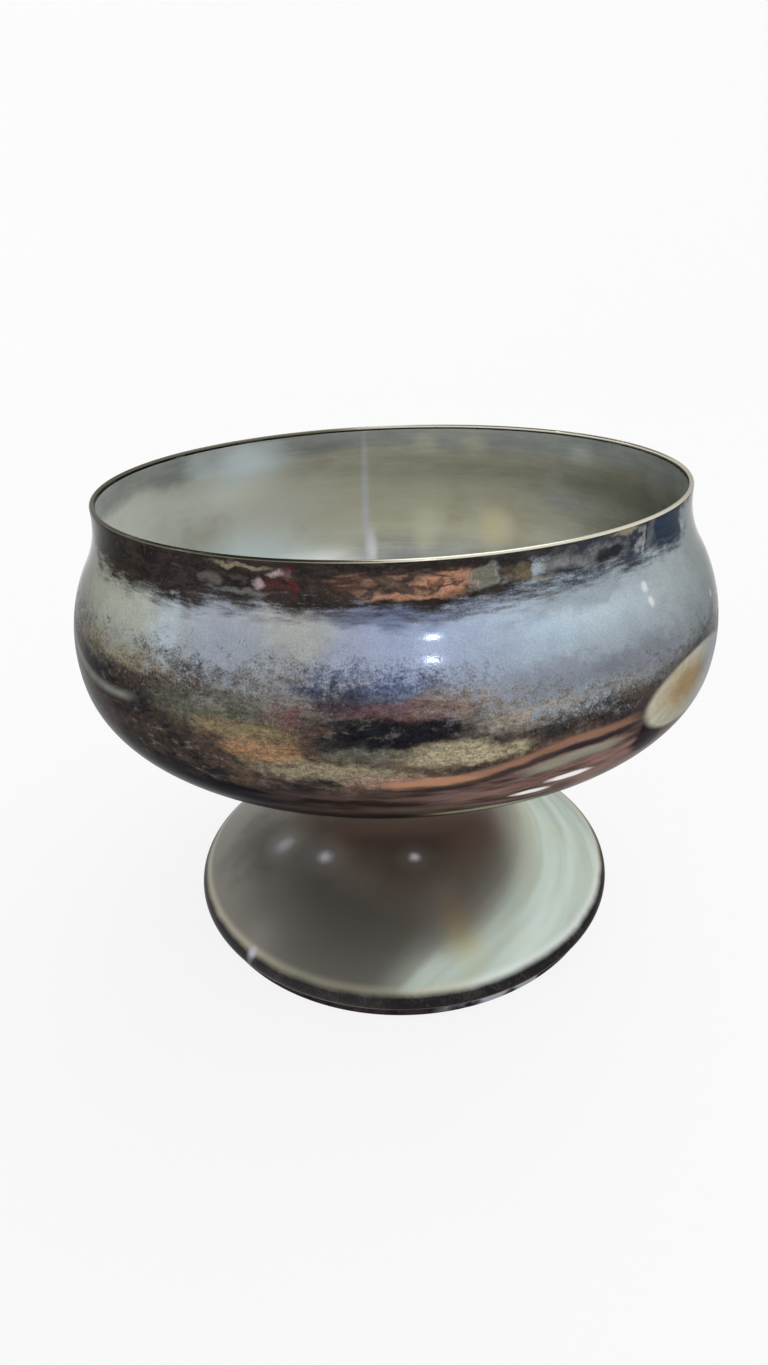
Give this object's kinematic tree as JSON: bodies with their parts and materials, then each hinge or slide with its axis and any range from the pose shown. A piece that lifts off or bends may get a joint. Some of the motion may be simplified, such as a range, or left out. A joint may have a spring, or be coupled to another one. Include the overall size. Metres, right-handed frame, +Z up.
{
  "type": "dessert bowl",
  "caption": "Footed dessert bowl of spun sheet metal with a drawn-in neck, round belly, hollow domed foot on a short stem and soldered base ring.",
  "frame": {"origin": "centre of the base ring's underside, on the table", "axes": "+Z up along the axis of the bowl; the bowl is round, so +X and +Y are free"},
  "size_m": [0.113, 0.113, 0.0859],
  "materials": {
    "bowl_metal": "worn and tarnished silver plate on brass, polished",
    "foot_metal": "worn silver plate on brass, satin",
    "ring_metal": "worn silver plate on brass, dark with age",
    "solder": "dull grey soft solder"
  },
  "bodies": {
    "root": {"bowl": "bowl_metal", "foot": "foot_metal", "foot_ring": "ring_metal", "solder_seam": "solder"}
  },
  "joints": []
}
